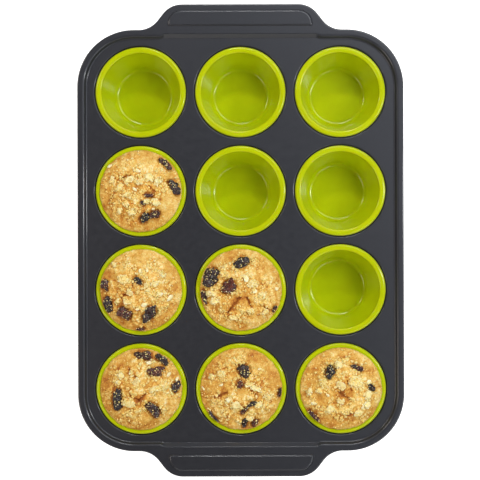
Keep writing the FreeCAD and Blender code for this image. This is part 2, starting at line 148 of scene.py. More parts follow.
# ---- raisins and crumbs, in millimetres ----
RAISIN_DETAIL = 5
RAISIN_REACH = 33.0
RAISIN_LIMIT = 33.5
BEND_WAVE, WARP_WAVE, NUB_WAVE, FOLD_WAVES = 5, 3, 0.9, (3.2, 1.5, 1.7)
BEND, PLUMPNESS, FOLD_DEPTH, NUB_HEIGHT = 0.55, 0.15, 1.15, 0.25
FOLD_SHARE = 0.34
LUMP_HEIGHT = 3.4
LUMP_CRUMB_AREA = 2.6
LUMP_CRUMB_SIZE = (1.3, 3.0)
FLAKE_HEIGHT = 1.5
CRUMB_FLATS = 12
CRUMB_TRIES = 1100
CRUMB_REACH = 32.8
CRUMB_LEAST, CRUMB_SPREAD = 0.9, 2.4
CHANCE_ON_RAISIN, CHANCE_ON_BARE = 0.03, 0.16
CRUMB_KINDS = {"small": (2, range(1, 13)), "medium": (3, range(21, 41)), "large": (4, range(51, 61))}
SMALL_CRUMB = 1.5
SPECK_SHARE = 0.30
SPECK_SIZE = (0.5, 1.7)

# ---- stage: lamps as azimuth and elevation in degrees, width and height, power and colour ----
FLOOR_GLOW = 0.9
FLOOR_SIZE = 8.0
FLOOR_GAP = 0.05 * MM
SURROUND_LEVEL = 0.03
BACKDROP_LEVEL = 1.0
LAMP_DISTANCE = 1.0
LAMPS = {"key": (6, 46, (0.12, 0.50), 4.0, (1.0, 1.0, 1.0)),
         "right_back": (58, 50, (0.42, 0.42), 2.5, (0.98, 1.0, 1.0)),
         "left_back": (150, 35, (0.24, 0.24), 2.0, (1.0, 0.92, 0.84)),
         "left_front": (205, 42, (0.42, 0.42), 2.6, (1.0, 0.88, 0.78)),
         "right_front": (315, 45, (0.42, 0.42), 1.8, (0.97, 1.0, 1.0)),
         "back": (90, 42, (0.24, 0.10), 2.5, (1.0, 1.0, 1.0)),
         "front": (270, 24, (1.0, 0.25), 1.5, (1.0, 0.96, 0.92))}
CAMERA_LENS = 73.23
CAMERA_ROLL = math.radians(-0.17)
CAMERA_HEIGHT = 0.810
CAMERA_AXIS = (6.75 * MM, 5.9 * MM)
CAMERA_SHIFT = (-0.0184, -0.0142)

# ---- colours from brown through gold to cream, by tone ----
CRUST = ((0.0, (0.34, 0.10, 0.008)), (0.20, (0.56, 0.22, 0.020)), (0.40, (0.70, 0.37, 0.055)),
         (0.58, (0.82, 0.52, 0.125)), (0.78, (0.92, 0.70, 0.26)), (1.0, (0.97, 0.84, 0.46)))
STREUSEL = ((0.12, (0.62, 0.27, 0.028)), (0.34, (0.80, 0.50, 0.10)), (0.54, (0.92, 0.69, 0.22)),
            (0.74, (0.98, 0.84, 0.40)), (1.0, (1.0, 0.95, 0.70)))

# ---- levels read from the frame ----
_, TRAY_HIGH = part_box("tray")
HALF_WIDTH = TRAY_HIGH.x
HALF_LENGTH = TRAY_HIGH.y
RIM_Z = TRAY_HIGH.z - PANEL_RISE
DECK_Z = RIM_Z - STEP_HEIGHT
LEDGE_Z = DECK_Z - SEAT_DROP
LINER_LOW, LINER_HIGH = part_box("liner_r1_c1")
LINER_UNDERSIDE_Z = LINER_LOW.z
LINER_FLOOR_Z = LINER_UNDERSIDE_Z + LINER_WALL
CREST_Z = LINER_HIGH.z
BEAD_Z = CREST_Z - BEAD_RADIUS
BEAD_R = (LINER_HIGH.x - LINER_LOW.x) / 2 - BEAD_RADIUS
DOME_RADIUS = (DOME_CHORD ** 2 + (DOME_RISE - DOME_SHOULDER) ** 2) / (2 * (DOME_RISE - DOME_SHOULDER))
DOME_CENTRE_Z = CREST_Z + DOME_RISE - DOME_RADIUS

# ---- what lies on each muffin, in millimetres and degrees from its centre ----
# painted shade side: direction and strength of a painted shade that darkens that side of the crust; raisins,
# lumps and flakes: x, y, length, width, turn;
# bare: x, y, radius of a smooth patch; cracks: x, y to x, y
MUFFINS = {
    (2, 1): {
        "painted_shade_side": (225, 1.0),
        "raisins": [(21.0, 22.5, 14, 5.5, -46), (28.6, 2.6, 14, 6, -57), (7, -4, 8, 3, 8),
            (2.7, -10.3, 5, 4, 0), (3.6, -22.3, 9.5, 6.5, 60), (12.4, -19.2, 8, 5.5, 10)],
        "lumps": [(-16, 3, 7, 5, 50), (-8.5, 8.5, 10, 5, 30), (0.5, 7, 6, 5, 10), (8.5, 10.5, 9, 7, -20),
            (14.5, 7, 6, 5, 40), (-9.5, -4, 7, 5, -15), (-11.5, -11, 5, 5, 0), (-6.5, -17.5, 7, 6, 20),
            (-17, -16.5, 6, 4, 60), (12.5, -9.5, 8, 6, -30), (6, -9, 7, 4, 20), (-23, 9, 6, 4, 70)],
        "flakes": [(-1.6, 16.5, 6, 3.4, -20), (-4, 1, 5, 2.6, -30), (-25, 20, 5, 3, 50),
            (11, -14.8, 3, 2, 10)],
        "bare": [(20, -19, 12), (8, -30, 7), (24, -8, 7), (6, 28, 9)],
        "cracks": [(-18, 9, -8, 13), (8, 3, 12, 0)]},
    (3, 1): {
        "painted_shade_side": (230, 1.2),
        "raisins": [(-29.8, 4, 9, 7, -70), (-27.6, -12, 13, 7.5, -70), (-13.3, -19.2, 12, 8.5, -20),
            (7.5, -19, 14.5, 8.5, 60), (-1.6, 8.3, 9, 4, -38), (-1, -32.2, 9, 2.6, -3)],
        "lumps": [(-14, 9, 9, 7, -20), (-22, 21, 6, 4, -40), (12, 5, 8, 5, 30), (-8, -2, 7, 4, -20),
            (-19, -9, 5, 4, 20), (-10, -9, 7, 5, 10), (5, 4, 6, 4, 60), (19, 12, 5, 4, 0)],
        "flakes": [(0.3, 16.3, 5, 3.4, -30), (5.8, 16.8, 4, 3, 80), (16, -2.7, 6, 3, 25),
            (24, -6, 9, 3.2, 52), (3.6, -11.3, 6, 3.8, 15), (-2.3, -14.9, 3.4, 2.4, 0),
            (-7.8, -0.8, 5, 2.4, -15)],
        "bare": [(-14, -28, 10), (27, 14, 8), (0, 29, 9), (-26, 12, 5), (14, -29, 6)],
        "cracks": [(-15, -5, -12, -3), (-8, 2, -5, 6)]},
    (3, 2): {
        "painted_shade_side": (200, 0.5),
        "raisins": [(-24.4, 11.5, 16, 12, 65), (-9.8, 3, 12.5, 10, 35), (-31, -5.5, 12, 4.5, -75),
            (0.8, 22.7, 12, 9, 40), (28.8, -15.2, 6, 4, 50)],
        "lumps": [(10, 5, 9, 8, 10), (-13, 19, 6, 4, 40), (-25, -3, 8, 5, 0), (-21.5, -9, 7, 6, 30),
            (17, -4, 7, 5, -30), (8, -17, 6, 5, 0), (20, -18, 6, 4, 40), (-6, -22, 7, 5, 10)],
        "flakes": [(4, 9.8, 7, 4.4, -70), (11.3, -0.8, 4, 3.4, 20), (29, 1, 4, 3, 60),
            (-22, -7.5, 4, 3, 0)],
        "bare": [(4, -8.5, 6), (24, 20, 9), (-10, 29, 6), (-6, -9, 4)],
        "cracks": [(-1, -5.5, -10.7, -18.5), (5, -6, 9, -15), (17, -12, 23, -17)]},
    (4, 1): {
        "painted_shade_side": (220, 1.1),
        "raisins": [(2.7, 29.0, 14, 6.5, -3), (17.6, 25.2, 12, 6, -35), (13.2, 16.2, 13, 7, 15),
            (29, 2.1, 9, 6, 70), (-19.6, -7, 19, 7.5, -87), (11, -16, 15, 8, -58)],
        "lumps": [(-9.3, -10.3, 11, 7, -15), (12, 1, 9, 6, 20), (20, 3, 7, 5, 0), (-1.6, -16.5, 6, 4, 30),
            (-9, -20, 6, 4, 10), (-3, 8, 7, 5, 50), (-16, 12, 6, 5, 10), (-7, 14, 6, 4, -50)],
        "flakes": [(-18.5, 7, 4, 2.8, 0), (23, 13, 5, 3, 60), (7, 22.5, 6, 3, 10), (29.5, 8.5, 5, 3, 70)],
        "bare": [(7, -25, 8), (-25, -20, 8), (-29, 6, 5), (-14, 27, 9), (0, -6, 4)],
        "cracks": [(-9, -4, -1.5, -8), (-1.5, -8, 5, -2), (-10, 18, -4, 11)]},
    (4, 2): {
        "painted_shade_side": (110, 0.6),
        "raisins": [(2.4, 16.5, 11, 9.5, -30), (-0.7, 5.5, 7, 5, 45), (32, -2.7, 7.5, 2.6, 85),
            (9, -11.3, 8, 3, 25), (1.7, -17.4, 8, 3, 40), (3.2, -28, 8, 4, 75), (11.5, -27.6, 7, 4, 60),
            (-23.2, -23, 12, 2.6, -45)],
        "lumps": [(12.7, 1.5, 11, 6, -15), (-4.5, -12, 8, 7, 30), (-16.5, 13, 7, 6, 0), (7, 5, 8, 4, 15),
            (-24, 11, 6, 5, 30), (22, -6, 7, 5, 0), (14, -12, 7, 5, 20), (7, -24, 6, 5, 0)],
        "flakes": [(-10.2, -7.5, 5, 4, 60), (-16.3, 4.5, 3.6, 2, 20), (13.5, -11.5, 5, 3, -20),
            (-31, 0.5, 5, 2, -40), (15, 17, 3.4, 2.4, 0)],
        "bare": [(12, 24, 9), (-13, 1, 6), (24, 14, 7), (0, -3, 4)],
        "cracks": [(-22, -6, -12, -2), (9, 0, 13, -5)]},
    (4, 3): {
        "painted_shade_side": (215, 0.5),
        "raisins": [(-9.8, 15, 10, 8, 60), (13.2, 18.4, 11, 4, -25), (25.2, 1.6, 7, 4, -40),
            (-23, -22.6, 14, 4, -52)],
        "lumps": [(10.8, 6.4, 13, 10, -10), (21.3, -4.6, 9, 6, 75), (13.2, -19.4, 8, 5, 0),
            (-1.1, 4, 9, 7, -35), (-2.6, 20.3, 6, 6, 0), (-15.5, 6.9, 7, 6, 20), (-26.5, -1.7, 6, 6, 0),
            (-10, -16, 8, 6, 30), (-1, -9, 7, 5, -10), (20, -13, 8, 6, 30), (-19, -1, 5, 4, 0)],
        "flakes": [(-22.7, -11.3, 5, 3.4, -15), (22.5, 6, 5, 4, 50), (-11.5, -4, 4, 2, -40)],
        "bare": [(-15.5, -7.5, 6), (7.5, -24, 5), (25, 15, 7), (-12, -27, 6), (6, -3, 4)],
        "cracks": [(-3, -1, 7, -8), (5, 8, 8, 0), (3, -22, 9, -19)]},
}


# ---- drawing sections and paths ----
def unit(vector):
    """The vector at length one."""
    return vector / np.linalg.norm(vector)


def rounded(corners, radii, steps=6):
    """Points (outwards, up) of an open polyline whose inner corners are rounded."""
    corners = [np.array(corner, float) for corner in corners]
    points = [corners[0]]
    for index, radius in enumerate(radii, start=1):
        corner = corners[index]
        before = unit(corners[index - 1] - corner)
        after = unit(corners[index + 1] - corner)
        half = math.acos(before @ after) / 2
        centre = corner + unit(before + after) * (radius / math.sin(half))
        start = corner + before * (radius / math.tan(half)) - centre
        end = corner + after * (radius / math.tan(half)) - centre
        turn = math.pi - 2 * half
        for step in range(steps + 1):
            share = step / steps
            swing = (math.sin((1 - share) * turn) * start + math.sin(share * turn) * end) / math.sin(turn)
            points.append(centre + swing)
    points.append(corners[-1])
    return points


def trace(start, heading, moves):
    """Points and outward directions of a closed flat path of lines and arcs, walked clockwise."""
    points, outwards = [], []
    position = np.array(start, float)
    for kind, size, *turn in moves:
        angle = math.radians(heading)
        ahead = np.array([math.cos(angle), math.sin(angle)])
        left = np.array([-ahead[1], ahead[0]])
        if kind == "line":
            points.append(position)
            outwards.append(left)
            position = position + ahead * size
            continue
        side = math.copysign(1, turn[0])
        centre = position + left * (side * size)
        count = math.ceil(abs(turn[0]) / ARC_STEP)
        for step in range(count + 1):
            swing = math.radians(heading + turn[0] * step / count)
            outward = np.array([-math.sin(swing), math.cos(swing)])
            position = centre - outward * (side * size)
            if step < count:
                points.append(position)
                outwards.append(outward)
        heading += turn[0]
    return np.array(points), np.array(outwards)


def outline(inset):
    """The tray's outline, moved inwards: its points and outward directions."""
    angle = math.radians(HANDLE_BEND_ANGLE)
    bend_drop = 2 * HANDLE_BEND_RADIUS * (1 - math.cos(angle))
    slope = (HALF_LENGTH - HALF_BODY_LENGTH - bend_drop) / math.sin(angle)
    foot = HANDLE_HALF_FLAT + 2 * HANDLE_BEND_RADIUS * math.sin(angle) + slope * math.cos(angle)
    shoulder = HALF_WIDTH - CORNER_RADIUS - foot
    neck = [("arc", HANDLE_BEND_RADIUS - inset, -HANDLE_BEND_ANGLE), ("line", slope),
            ("arc", HANDLE_BEND_RADIUS + inset, HANDLE_BEND_ANGLE)]
    corner = ("arc", CORNER_RADIUS - inset, -90)
    side = 2 * (HALF_BODY_LENGTH - CORNER_RADIUS)
    half = ([("line", 2 * HANDLE_HALF_FLAT)] + neck + [("line", shoulder), corner, ("line", side), corner,
            ("line", shoulder)] + neck[::-1])
    return trace((-HANDLE_HALF_FLAT, HALF_LENGTH - inset), 0, half * 2)


def step_line():
    """The body's outline with the outward directions, and each point's share of the handle's wide step."""
    corner_x = HALF_WIDTH - CORNER_RADIUS
    blend_end = HANDLE_STEP_HALF + HANDLE_STEP_BLEND
    blend = [("line", HANDLE_STEP_BLEND / BLEND_PIECES)] * BLEND_PIECES
    corner = ("arc", CORNER_RADIUS, -90)
    side = 2 * (HALF_BODY_LENGTH - CORNER_RADIUS)
    end = ("line", corner_x - blend_end)
    half = [("line", 2 * HANDLE_STEP_HALF)] + blend + [end, corner, ("line", side), corner, end] + blend
    points, outwards = trace((-HANDLE_STEP_HALF, HALF_BODY_LENGTH), 0, half * 2)
    share = np.clip((blend_end - np.abs(points[:, 0])) / HANDLE_STEP_BLEND, 0, 1)
    straight_across = np.abs(outwards[:, 1]) > 0.99
    share[~straight_across] = 0
    return points, outwards, share * share * (3 - 2 * share)


def panel_outline(inset, sign):
    """The outline of a grip panel, moved inwards; sign is 1 for the +Y handle and -1 for the other."""
    outer_radius = PANEL_OUTER_RADIUS - inset
    inner_radius = max(PANEL_INNER_RADIUS - inset, SHEET / 2)
    half = PANEL_HALF_WIDTH - inset
    side = PANEL_OUTER_Y - PANEL_INNER_Y - 2 * inset - outer_radius - inner_radius
    drop = ("line", max(side, PANEL_SHORTEST_SIDE))
    moves = [("line", 2 * (half - outer_radius)), ("arc", outer_radius, -90), drop,
             ("arc", inner_radius, -90), ("line", 2 * (half - inner_radius)), ("arc", inner_radius, -90),
             drop, ("arc", outer_radius, -90)]
    points, _ = trace((-(half - outer_radius), PANEL_OUTER_Y - inset), 0, moves)
    return points * (1, sign)


def step_profile(inset, width, wall, bend):
    """The step's bent middle line, from the rim (first) down to the deck (last)."""
    head = -inset - (width - wall) / 2
    rim, deck = RIM_Z - SHEET / 2, DECK_Z - SHEET / 2
    return np.array(rounded([(-inset, rim), (head, rim), (head - wall, deck), (-inset - width, deck)],
                            [bend, bend]))


# ---- building meshes ----
def ring(mesh, points, z):
    """A closed loop of vertices at the given points; z is one height or one for each."""
    heights = np.broadcast_to(z, len(points))
    return [mesh.verts.new((point[0], point[1], height)) for point, height in zip(points, heights)]


def strip(mesh, rows):
    """Faces between closed loops of vertices; a loop of one vertex closes a middle."""
    for lower, upper in zip(rows, rows[1:]):
        count = max(len(lower), len(upper))
        for index in range(count):
            after = (index + 1) % count
            corners = [lower[index % len(lower)], lower[after % len(lower)],
                       upper[after % len(upper)], upper[index % len(upper)]]
            mesh.faces.new(list(dict.fromkeys(corners)))


def fill(mesh, loops):
    """Flat triangles inside the first loop and outside the others."""
    edges = []
    for loop in loops:
        for first, second in zip(loop, loop[1:] + loop[:1]):
            edges.append(mesh.edges.get((first, second)) or mesh.edges.new((first, second)))
    bmesh.ops.triangle_fill(mesh, edges=edges, use_beauty=True, use_dissolve=False, normal=(0, 0, 1))


def link(name, data, material):
    """A smooth-shaded object from a finished mesh."""
    data.shade_smooth()
    data.materials.append(material)
    piece = bpy.data.objects.new(name, data)
    bpy.context.scene.collection.objects.link(piece)
    return piece


def finished(name, mesh, material):
    """A smooth-shaded object from a bmesh."""
    bmesh.ops.recalc_face_normals(mesh, faces=mesh.faces[:])
    data = bpy.data.meshes.new(name)
    mesh.to_mesh(data)
    mesh.free()
    return link(name, data, material)


def crisp_flats(piece):
    """Shades the flats between a piece's bends as flat."""
    flats = piece.modifiers.new("flats", "WEIGHTED_NORMAL")
    flats.keep_sharp = False


def sheet_metal(piece):
    """Gives a middle surface the sheet's thickness and crisp flats."""
    thick = piece.modifiers.new("thickness", "SOLIDIFY")
    thick.thickness = SHEET
    thick.offset = 0
    thick.use_even_offset = True
    crisp_flats(piece)


def round_points():
    """Points round a circle of radius one."""
    angles = np.arange(TURN_SEGMENTS) * (2 * math.pi / TURN_SEGMENTS)
    return np.stack([np.cos(angles), np.sin(angles)], axis=1)


def turned(name, profile, centre, material):
    """A profile of (radius, height) turned about a vertical axis through centre."""
    mesh = bmesh.new()
    circle = round_points()
    rows = []
    for radius, height in profile:
        points = circle[:1] * 0 if radius < AXIS_RADIUS else circle * radius
        rows.append(ring(mesh, points + centre, height))
    strip(mesh, rows)
    return finished(name, mesh, material)


# ---- random numbers, the same each run ----
def hashed(cells, seed):
    """A random number from 0 to 1 for each whole-number point of three coordinates."""
    across, along, upright = cells[..., 0], cells[..., 1], cells[..., 2]
    mixed = across * 73856093 ^ along * 19349663 ^ upright * 83492791 ^ (seed * 7919 + 13)
    mixed = mixed & 0xFFFFFFFF
    for _ in range(2):
        mixed = ((mixed ^ (mixed >> 15)) * 0x2C1B3C6D) & 0xFFFFFFFF
        mixed = ((mixed ^ (mixed >> 12)) * 0x297A2D39) & 0xFFFFFFFF
    return (mixed ^ (mixed >> 15)) / 0xFFFFFFFF


def gradient_noise(points, seed):
    """Smooth noise from about -1 to 1, one wave per unit."""
    base = np.floor(points).astype(np.int64)
    offset = points - base
    ease = offset ** 3 * (offset * (offset * 6 - 15) + 10)
    total = np.zeros(len(points))
    for corner in np.ndindex(2, 2, 2):
        cell = base + corner
        away = offset - corner
        slopes = np.stack([hashed(cell, seed * 3 + axis) * 2 - 1 for axis in range(3)], axis=-1)
        weight = np.prod(np.where(np.array(corner) == 1, ease, 1 - ease), axis=-1)
        total += weight * (slopes * away).sum(axis=-1)
    return total * 1.5


def layered_noise(points, seed, layers):
    """Gradient noise summed over layers, each twice as fine and half as strong."""
    return sum(gradient_noise(points * 2 ** layer, seed + layer) / 2 ** layer for layer in range(layers))


def cell_noise(points, seed):
    """Distance to the nearest of one random point per unit cell."""
    base = np.floor(points).astype(np.int64)
    nearest = np.full(len(points), 9.0)
    for shift in np.ndindex(3, 3, 3):
        cell = base + np.array(shift) - 1
        spot = cell + np.stack([hashed(cell, seed * 5 + axis) for axis in range(3)], axis=-1)
        nearest = np.minimum(nearest, ((points - spot) ** 2).sum(axis=-1))
    return np.sqrt(nearest)


def smooth_share(value, low, high):
    """0 below low, 1 above high, and an easy curve between."""
    share = np.clip((value - low) / (high - low), 0, 1)
    return share * share * (3 - 2 * share)


# ---- tray, wells and liners ----
def cup_places():
    """Row, column and the centre of each cup, read from the liners."""
    for row in range(1, 5):
        for column in range(1, 4):
            low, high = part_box("liner_r%d_c%d" % (row, column))
            middle = (low + high) / 2
            yield row, column, np.array([middle.x, middle.y])


def build_tray(material):
    """The pressed tray as one bent sheet: rolled edge, rim, grip panels, step, deck and seats."""
    mesh = bmesh.new()
    points, outwards = outline(CURL_RADIUS)
    rim_level, deck_level = RIM_Z - SHEET / 2, DECK_Z - SHEET / 2
    curl = []
    for angle in np.radians(np.linspace(90, -180, CURL_ROWS)):
        reach, rise = np.array([math.cos(angle), math.sin(angle)]) * CURL_MIDDLE
        squareness = math.hypot(reach, rise) / np.linalg.norm([reach, rise], CURL_POWER)
        reach, rise = reach * squareness, rise * squareness - CURL_MIDDLE
        curl.append(ring(mesh, points + outwards * reach, rim_level + rise))
    strip(mesh, curl)

    points, outwards, share = step_line()
    usual, wide = step_profile(*STEP), step_profile(*HANDLE_STEP)
    steps = []
    for plain, broad in zip(usual, wide):
        reach = plain[0] + (broad[0] - plain[0]) * share
        steps.append(ring(mesh, points + outwards * reach[:, None], plain[1] + (broad[1] - plain[1]) * share))
    strip(mesh, steps)

    top = rim_level + PANEL_RISE
    profile = rounded([(PANEL_MARGIN, rim_level), (0, rim_level), (-PANEL_SLANT, top),
                       (-PANEL_MARGIN - PANEL_SLANT, top)], [PANEL_FOOT_BEND, PANEL_EDGE_BEND])
    feet = []
    for sign in (1, -1):
        rows = [ring(mesh, panel_outline(-reach, sign), height) for reach, height in profile]
        strip(mesh, rows)
        mesh.faces.new(rows[-1])
        feet.append(rows[0])
    fill(mesh, [curl[0], steps[0]] + feet)

    ledge_level = LEDGE_Z - SHEET / 2
    seat = rounded([(SEAT_RING_RADIUS, deck_level), (SEAT_HEAD_RADIUS, deck_level),
                    (SEAT_FOOT_RADIUS, ledge_level), (SEAT_HOLE_RADIUS, ledge_level)], [SEAT_BEND, SEAT_BEND])
    circle = round_points()
    rings = []
    for _, _, centre in cup_places():
        rows = [ring(mesh, centre + circle * radius, height) for radius, height in seat]
        strip(mesh, rows)
        rings.append(rows[0])
    fill(mesh, [steps[-1]] + rings)

    piece = finished("tray_shell", mesh, material)
    sheet_metal(piece)
    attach(piece, "tin")
    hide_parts("tray")


def wall_radius(height, offset):
    """Radius of a liner's inner wall at a height, moved outwards by offset."""
    touch_r = BEAD_R - BEAD_RADIUS * math.cos(LINER_DRAFT)
    touch_z = BEAD_Z + BEAD_RADIUS * math.sin(LINER_DRAFT)
    return touch_r + offset / math.cos(LINER_DRAFT) - (touch_z - height) * math.tan(LINER_DRAFT)


def build_well(row, column, centre, material):
    """A drawn steel well: flange, drafted wall and flat floor."""
    low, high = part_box("well_r%d_c%d" % (row, column))
    flange, floor = high.z - SHEET / 2, low.z + SHEET / 2
    profile = rounded([((high.x - low.x) / 2, flange), (wall_radius(flange, WELL_OFFSET), flange),
                       (wall_radius(floor, WELL_OFFSET), floor), (0, floor)],
                      [WELL_FLANGE_BEND, LINER_FLOOR_ROUND + WELL_OFFSET])
    piece = turned("well_shell_r%d_c%d" % (row, column), profile, centre, material)
    sheet_metal(piece)
    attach(piece, "tin")
    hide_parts("well_r%d_c%d" % (row, column))


def build_liner(row, column, centre, material):
    """A silicone cup: flat-topped bead with round edges, drafted wall and flat floor."""
    outer, inner = BEAD_R + BEAD_RADIUS, BEAD_R - BEAD_RADIUS
    shoulder = CREST_Z - BEAD_CROWN
    foot, neck = BEAD_Z - BEAD_SIDE_DROP, BEAD_Z - 2 * BEAD_SIDE_DROP
    outside = [(0, LINER_UNDERSIDE_Z), (wall_radius(LINER_UNDERSIDE_Z, LINER_WALL), LINER_UNDERSIDE_Z),
               (wall_radius(LEDGE_Z, LINER_WALL), LEDGE_Z), (outer, LEDGE_Z), (outer, shoulder),
               (BEAD_R, CREST_Z)]
    inside = [(inner, shoulder), (inner, foot), (wall_radius(neck, WALL_SETBACK), neck),
              (wall_radius(LINER_FLOOR_Z, WALL_SETBACK), LINER_FLOOR_Z), (0, LINER_FLOOR_Z)]
    radii = [LINER_FLOOR_ROUND + LINER_WALL, SHEET / 2, BEAD_HEEL_ROUND, BEAD_OUTER_ROUND, BEAD_CROWN_ROUND,
             BEAD_LIP_ROUND, BEAD_HEEL_ROUND, BEAD_INNER_ROUND, LINER_FLOOR_ROUND]
    profile = rounded(outside + inside, radii)
    piece = turned("silicone_liner_r%d_c%d" % (row, column), profile, centre, material)
    crisp_flats(piece)
    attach(piece, "liner_r%d_c%d" % (row, column))
    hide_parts("liner_r%d_c%d" % (row, column))


# ---- muffins ----
def dome_height(radius):
    """Height of a muffin's plain crust at a distance from its axis."""
    return DOME_CENTRE_Z + np.sqrt(DOME_RADIUS ** 2 - radius ** 2)


def disc_grid(count):
    """A square grid of count x count faces laid over a unit disc: points, the border in order and faces."""
    steps = np.linspace(-1, 1, count + 1)
    across, along = np.meshgrid(steps, steps)
    wide = np.abs(across) > np.abs(along)
    with np.errstate(divide="ignore", invalid="ignore"):
        angle = np.where(wide, math.pi / 4 * along / across, math.pi / 2 - math.pi / 4 * across / along)
    radius = np.where(wide, across, along)
    angle[radius == 0] = 0
    points = np.stack([radius * np.cos(angle), radius * np.sin(angle)], axis=-1).reshape(-1, 2)
    index = np.arange((count + 1) ** 2).reshape(count + 1, count + 1)
    border = np.concatenate([index[0, :-1], index[:-1, -1], index[-1, :0:-1], index[:0:-1, 0]])
    quads = np.stack([index[:-1, :-1], index[:-1, 1:], index[1:, 1:], index[1:, :-1]], axis=-1)
    return points, border, quads.reshape(-1, 4)


def muffin_side():
    """The muffin's side from its shoulder down to its floor, as (radius, height), evenly spaced."""
    neck = BEAD_R - BEAD_RADIUS - MUFFIN_GAP
    lip = CREST_Z + MUFFIN_GAP
    shoulder = (DOME_CHORD, dome_height(DOME_CHORD))
    bulge = (MUFFIN_RADIUS + MUFFIN_GAP / 2, (lip + shoulder[1]) / 2)
    wall = rounded([(MUFFIN_RADIUS, lip), (neck, lip), (neck, BEAD_Z - BEAD_SIDE_DROP),
                    (wall_radius(LINER_FLOOR_Z, -MUFFIN_GAP), LINER_FLOOR_Z), (0, LINER_FLOOR_Z)],
                   [BEAD_INNER_ROUND, LINER_FLOOR_ROUND, LINER_FLOOR_ROUND])
    corners = np.array([shoulder, bulge] + [tuple(point) for point in wall])
    lengths = np.concatenate([[0], np.cumsum(np.linalg.norm(np.diff(corners, axis=0), axis=1))])
    even = np.arange(SIDE_SPACING, lengths[-1], SIDE_SPACING)
    return np.stack([np.interp(even, lengths, corners[:, axis]) for axis in (0, 1)], axis=-1)


def nearness(away, spread):
    """1 inside a shape, falling off smoothly with the distance from it."""
    return np.exp(-np.clip(away, 0, None) ** 2 / spread)


def side_shade_amount(ground, plan):
    """Painted shade: how much darker the crust is painted at each place in mm, from one side of the muffin to
    the other.
    """
    angle, amount = plan["painted_shade_side"]
    side = ground @ np.array([math.cos(math.radians(angle)), math.sin(math.radians(angle))])
    return amount * (smooth_share(side, SHADE_SIDE_START, SHADE_SIDE_END) - 0.3)


def crust_relief(points, seed, plan):
    """Height in mm added to the plain crust, how high each point stands in its crumb as a tone with painted
    shade in its low places, hollows, cracks and on one side, and crumbliness.
    """
    flat = points / MM
    ground = flat[:, :2]
    warped = flat + 1.1 * np.stack([gradient_noise(flat / 3, seed + k) for k in (1, 2, 3)], axis=-1)
    swell = layered_noise(flat / SWELL_WAVE, seed + 10, 2) * SWELL_HEIGHT
    crumbly = smooth_share(layered_noise(flat / PATCH_WAVE, seed + 20, 2), -0.45, 0.1)
    for x, y, radius in plan["bare"]:
        away = np.hypot(ground[:, 0] - x, ground[:, 1] - y) + 1.6 * gradient_noise(flat / 4, seed + 30)
        crumbly = crumbly * smooth_share(away, radius * 0.75, radius * 1.15)
    crumbly = crumbly * (1 - EDGE_FADE * smooth_share(np.linalg.norm(ground, axis=1), 24, 31))
    large = 0.62 - cell_noise(warped / COARSE_WAVE, seed + 40)
    small = 0.60 - cell_noise(warped / FINE_WAVE, seed + 41)
    grain = layered_noise(flat / GRAIN_WAVE, seed + 50, 2)
    lumps = large * COARSE_HEIGHT * (0.3 + 0.7 * crumbly) + small * FINE_HEIGHT * (0.35 + 0.65 * crumbly)
    height = swell + lumps + grain * (0.10 + 0.14 * crumbly)
    # tone: lighter where the crust stands high, partly the crumbs' own paler colour and partly painted shade
    # in the low places; painted shade also darkens one side
    relief = 0.41 + lumps * 0.72 + grain * 0.16 + swell * 0.10 - PAINTED_SHADE_DEPTH * side_shade_amount(ground, plan)
    for x, y, length, width, turn in plan["raisins"]:
        away = capsule_distance(ground, x, y, length, width, turn)
        hollow = nearness(away, HOLLOW_SPREAD)
        height -= hollow * HOLLOW_DEPTH
        # painted shade: the crust is painted darker in the hollow round each raisin
        relief -= hollow * 0.34
    for x0, y0, x1, y1 in plan["cracks"]:
        middle, reach = ((x0 + x1) / 2, (y0 + y1) / 2), math.hypot(x1 - x0, y1 - y0)
        bent = ground + 0.9 * np.stack([gradient_noise(flat / 2.5, seed + k) for k in (61, 62)], axis=-1)
        away = capsule_distance(bent, *middle, reach, CRACK_WIDTH, math.degrees(math.atan2(y1 - y0, x1 - x0)))
        cut = nearness(away, CRACK_SPREAD)
        height -= cut * CRACK_DEPTH
        # painted shade: the crust is painted darker in each crack and in a wider halo round it
        relief -= cut * 0.45 + 0.25 * nearness(away, CRACK_HALO)
    return height, np.clip(relief, 0, 1), crumbly


def capsule_distance(ground, x, y, length, width, turn):
    """Distance in the plane from a rounded bar to each point; negative inside it."""
    angle = math.radians(turn)
    direction = np.array([math.cos(angle), math.sin(angle)])
    offset = ground - (x, y)
    half = max(length - width, 0) / 2
    along = np.clip(offset @ direction, -half, half)
    return np.linalg.norm(offset - along[:, None] * direction, axis=1) - width / 2


def raised(base, height):
    """Points moved out from the plain dome by their height, less so near the muffin's edge."""
    upright = base - (0, 0, DOME_CENTRE_Z)
    upright /= np.linalg.norm(upright, axis=1)[:, None]
    radius = np.linalg.norm(base[:, :2], axis=1)
    near_edge = 1 - EDGE_FADE * smooth_share(radius, 28 * MM, MUFFIN_RADIUS)
    return base + upright * (height * MM * near_edge)[:, None]


def number(data, name, values):
    """Stores one number for each vertex."""
    attribute = data.attributes.new(name, "FLOAT", "POINT")
    attribute.data.foreach_set("value", np.asarray(values, np.float32))


def seed_of(row, column):
    """The number that one muffin's random draws start from."""
    return 100 * row + 10 * column


